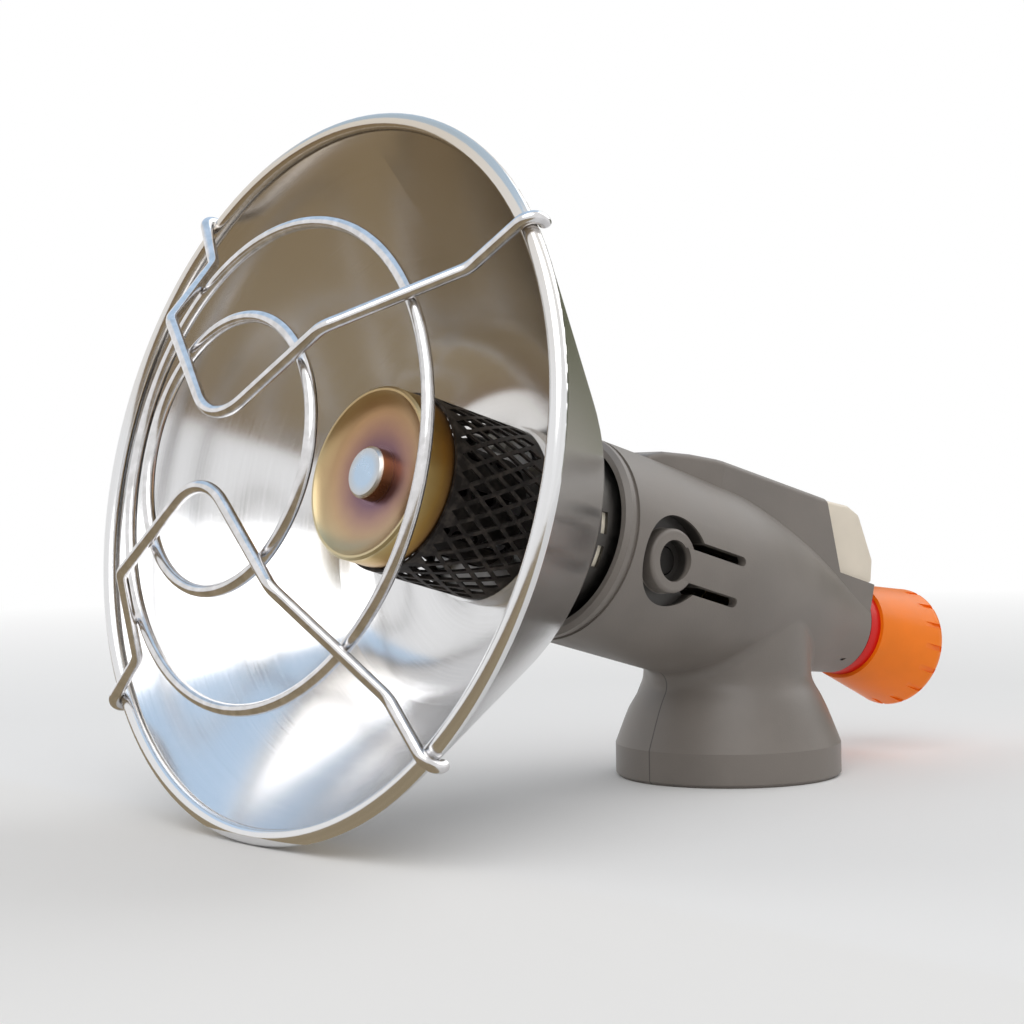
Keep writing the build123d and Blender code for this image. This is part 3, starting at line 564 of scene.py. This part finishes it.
nodeFinish = {
    "housing": ["housing_left", "housing_right"],
    "button": ["trigger_button"],
    "knob": ["knob"],
    "collar": ["knob_collar"],
    "black": ["igniter_plunger", "igniter_body"],
    "rubber": ["igniter_lead", "inlet_seal"],
    "ceramic": ["electrode_insulator"],
    "bowl": ["reflector_bowl", "burner_collar"],
    "wire": ["guard_upper_wire", "guard_lower_wire", "guard_outer_ring", "guard_inner_ring"],
    "stamped": ["lock_ring", "mixing_tube", "electrode", "burner_base", "centre_rod"],
    "cup": ["bracket"],
    "screw": ["housing_screws", "base_screws"],
    "blackScrew": ["side_screws"],
    "mesh": ["burner_mesh"],
    "core": ["burner_core"],
    "cap": ["burner_cap"],
    "nut": ["cap_nut"],
    "brass": ["inlet_stem", "valve_body", "gland_nut", "spindle", "jet"],
}
for kind, names in nodeFinish.items():
    for name in names:
        slots = nodes[name].data.materials
        slots.clear()
        slots.append(finishes[kind])
print("CAD nodes finished")


# Pale ring inside the bracket's cup, seen through its slots
slotRing = {
    "radius": 0.0186,
    "wall": 0.0005,
    "back": -0.0022,
    "front": 0.0014,
    "facets": 96,
    "smoothAngle": 40,
}


def makeSlotRing():
    bpy.ops.object.select_all(action="DESELECT")
    bpy.ops.mesh.primitive_cylinder_add(
        vertices=slotRing["facets"],
        radius=slotRing["radius"],
        depth=slotRing["front"] - slotRing["back"],
        end_fill_type="NOTHING",
    )
    ring = bpy.context.active_object
    ring.name = "slotRing"
    wall = ring.modifiers.new("wall", "SOLIDIFY")
    wall.thickness, wall.offset = slotRing["wall"], -1.0
    bpy.ops.object.modifier_apply(modifier="wall")
    middle = bowlMiddle + bowlAlong * (slotRing["back"] + slotRing["front"]) / 2
    ring.data.transform(Matrix.Translation(middle) @ facing(bowlAlong))
    bpy.ops.object.shade_smooth_by_angle(angle=math.radians(slotRing["smoothAngle"]))
    ring.data.materials.append(finishes["slotRing"])
    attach(ring, "torch")


makeSlotRing()
print("slot ring made")


# Floor that fades to white away from the object, under an even white world
stage = {
    "radius": 6.0,
    "facets": 96,
    "colour": (0.86, 0.86, 0.86),
    "rough": 0.7,
    "gloss": 0.2,
    "fadeStart": 0.25,
    "fadeEnd": 0.9,
    "worldLevel": 0.45,
}
white = (1, 1, 1)


def makeFloor():
    bpy.ops.object.select_all(action="DESELECT")
    bpy.ops.mesh.primitive_circle_add(
        vertices=stage["facets"], radius=stage["radius"], fill_type="NGON", location=(0, 0, 0)
    )
    floor = bpy.context.active_object
    floor.name = "floor"
    look = Finish("floorPaint", SpecularLevel=stage["gloss"])
    look.put(BaseColor=stage["colour"], Roughness=stage["rough"])
    x, y, _ = look.split(look.place())
    away = (x * x + y * y).maths("SQRT")
    fade = look.between(away, stage["fadeStart"], stage["fadeEnd"]) * look.unlitRays()
    paint = Wire(look, look.shader.outputs[0])
    mixed = {0: fade, 1: paint, 2: look.glow(white)}
    look.show(look.node("ShaderNodeMixShader", None, mixed))
    floor.data.materials.append(look.material)


def makeWorld():
    world = bpy.data.worlds.new("studio")
    bpy.context.scene.world = world
    world.use_nodes = True
    wiring = Wiring(world.node_tree)
    background = world.node_tree.nodes["Background"]
    level = wiring.between(wiring.unlitRays(), 0.0, 1.0, stage["worldLevel"], 1.0)
    wiring.feed(background.inputs["Color"], white)
    wiring.feed(background.inputs["Strength"], level)


# Cards that only reflections see: two warm ones low down, and a cool one overhead
cards = {
    "groundCard": {
        "centre": (-0.25, -0.75, 0.002),
        "size": (1.7, 1.25),
        "face": (0, 0, 1),
        "near": (0.19, 0.118, 0.062),
        "far": (0.33, 0.27, 0.18),
    },
    "backCard": {
        "centre": (-0.45, 0.95, 0.2),
        "size": (1.5, 0.42),
        "face": (0.2, -1, 0),
        "near": (0.12, 0.125, 0.08),
        "far": (0.42, 0.40, 0.36),
    },
    "skyCard": {
        "centre": (-0.9, 0.3, 1.6),
        "size": (2.4, 2.4),
        "face": (0.3, 0, -1),
        "near": (0.60, 0.78, 1.0),
        "far": (0.60, 0.78, 1.0),
    },
}
cardFade = (0.1, -0.5)  # where a card is near and far, along its own height


def makeCards():
    for name, card in cards.items():
        bpy.ops.object.select_all(action="DESELECT")
        bpy.ops.mesh.primitive_plane_add(size=1.0)
        made = bpy.context.active_object
        made.name = name
        place = Matrix.Translation(card["centre"]) @ facing(Vector(card["face"]))
        made.matrix_world = place @ Matrix.Diagonal((*card["size"], 1.0, 1.0))
        look = Finish(name + "Paint")
        height = look.split(look.place())[1]
        colour = look.blend(look.between(height, *cardFade), card["near"], card["far"])
        look.show(look.glow(colour))
        made.data.materials.append(look.material)
        made.visible_camera = made.visible_diffuse = made.visible_shadow = False
        made.visible_transmission = made.visible_volume_scatter = False


# Soft round lamps, of which the left one isn't seen in reflections
lamps = {
    "keyLamp": {"place": (0.9, -0.9, 1.5), "size": 1.8, "power": 14.0, "mirrored": True},
    "leftLamp": {"place": (-1.2, -0.9, 1.0), "size": 1.8, "power": 6.0, "mirrored": False},
    "backLamp": {"place": (0.3, 1.4, 1.3), "size": 1.8, "power": 9.0, "mirrored": True},
}
lampAim = Vector((0, -0.04, 0.06))


def makeLamps():
    for name, lamp in lamps.items():
        data = bpy.data.lights.new(name, "AREA")
        data.shape, data.size, data.energy = "DISK", lamp["size"], lamp["power"]
        made = bpy.data.objects.new(name, data)
        bpy.context.scene.collection.objects.link(made)
        made.visible_glossy = lamp["mirrored"]
        place = Vector(lamp["place"])
        made.matrix_world = Matrix.Translation(place) @ facing(lampAim - place, "-Z")


makeFloor()
makeWorld()
makeCards()
makeLamps()
print("stage and lamps made")
